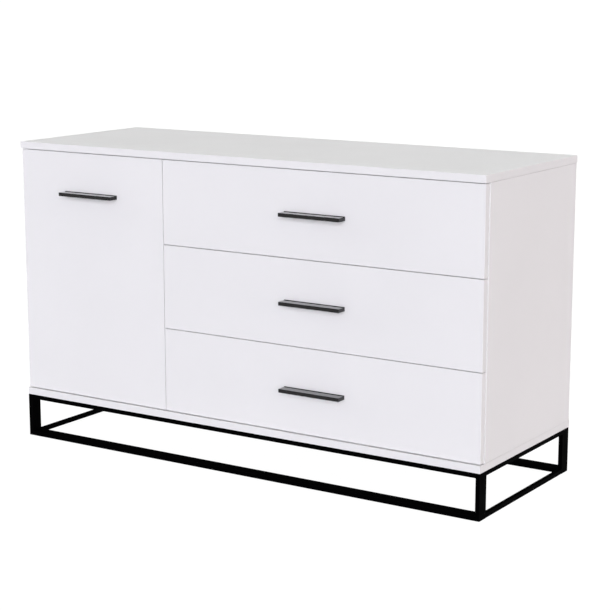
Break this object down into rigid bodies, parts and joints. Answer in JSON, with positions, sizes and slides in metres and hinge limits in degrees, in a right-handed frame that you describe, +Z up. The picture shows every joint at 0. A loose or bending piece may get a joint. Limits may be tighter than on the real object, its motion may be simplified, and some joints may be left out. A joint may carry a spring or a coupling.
{
  "type": "sideboard buffet",
  "caption": "Low white sideboard with a hinged door beside a stack of wide drawers, slim dark pulls and an open black flat-steel base frame.",
  "frame": {"origin": "on the floor, under the middle of the whole object's box, handles included", "axes": "+Z up, +X to the right seen from the front, the fronts face -Y"},
  "size_m": [1.2, 0.4474, 0.7],
  "materials": {
    "white_board": "white melamine-faced board, fine satin",
    "drawer_board": "white foil-wrapped drawer board, matt",
    "white_hardboard": "thin white-lacquered hardboard",
    "black_steel": "black powder coat, fine texture",
    "graphite_handle": "dark graphite, satin brushed",
    "zinc_hardware": "bright zinc-plated steel"
  },
  "bodies": {
    "carcass": {"top_panel": "white_board", "bottom_panel": "white_board", "side_panel_left": "white_board", "side_panel_right": "white_board", "divider_panel": "white_board", "back_panel": "white_hardboard", "shelf": "white_board", "shelf_pin_left_front": "zinc_hardware", "shelf_pin_left_rear": "zinc_hardware", "shelf_pin_right_front": "zinc_hardware", "shelf_pin_right_rear": "zinc_hardware", "frame_loop_front": "black_steel", "frame_loop_rear": "black_steel", "frame_bar_left_lower": "black_steel", "frame_bar_left_upper": "black_steel", "frame_bar_right_lower": "black_steel", "frame_bar_right_upper": "black_steel", "hinge_arm_lower": "zinc_hardware", "hinge_arm_upper": "zinc_hardware", "slide_1_left_fixed": "zinc_hardware", "slide_1_right_fixed": "zinc_hardware", "slide_2_left_fixed": "zinc_hardware", "slide_2_right_fixed": "zinc_hardware", "slide_3_left_fixed": "zinc_hardware", "slide_3_right_fixed": "zinc_hardware"},
    "door": {"door_panel": "white_board", "door_handle": "graphite_handle", "hinge_cup_lower": "zinc_hardware", "hinge_cup_upper": "zinc_hardware"},
    "hinge_links": {"hinge_link_lower": "zinc_hardware", "hinge_link_upper": "zinc_hardware"},
    "drawer_1": {"drawer_1_front": "white_board", "drawer_1_side_left": "drawer_board", "drawer_1_side_right": "drawer_board", "drawer_1_back": "drawer_board", "drawer_1_bottom": "white_hardboard", "drawer_1_handle": "graphite_handle", "slide_1_left_moving": "zinc_hardware", "slide_1_right_moving": "zinc_hardware"},
    "drawer_2": {"drawer_2_front": "white_board", "drawer_2_side_left": "drawer_board", "drawer_2_side_right": "drawer_board", "drawer_2_back": "drawer_board", "drawer_2_bottom": "white_hardboard", "drawer_2_handle": "graphite_handle", "slide_2_left_moving": "zinc_hardware", "slide_2_right_moving": "zinc_hardware"},
    "drawer_3": {"drawer_3_front": "white_board", "drawer_3_side_left": "drawer_board", "drawer_3_side_right": "drawer_board", "drawer_3_back": "drawer_board", "drawer_3_bottom": "white_hardboard", "drawer_3_handle": "graphite_handle", "slide_3_left_moving": "zinc_hardware", "slide_3_right_moving": "zinc_hardware"}
  },
  "joints": [
    {"name": "door_hinge", "type": "hinge", "parent": "carcass", "child": "door", "pos_m": [-0.5982, -0.19925, 0.4], "axis": [0, 0, -1], "range_deg": [0, 100]},
    {"name": "hinge_link_pivot", "type": "hinge", "parent": "door", "child": "hinge_links", "pos_m": [-0.5842, -0.18925, 0.4], "axis": [0, 0, -1], "range_deg": [-100, 0]},
    {"name": "drawer_1_slide", "type": "slide", "parent": "carcass", "child": "drawer_1", "axis": [0, -1, 0], "range_m": [0, 0.26]},
    {"name": "drawer_2_slide", "type": "slide", "parent": "carcass", "child": "drawer_2", "axis": [0, -1, 0], "range_m": [0, 0.26]},
    {"name": "drawer_3_slide", "type": "slide", "parent": "carcass", "child": "drawer_3", "axis": [0, -1, 0], "range_m": [0, 0.26]}
  ],
  "couplings": [
    {"joint": "hinge_link_pivot", "follows": "door_hinge", "ratio": -1}
  ]
}
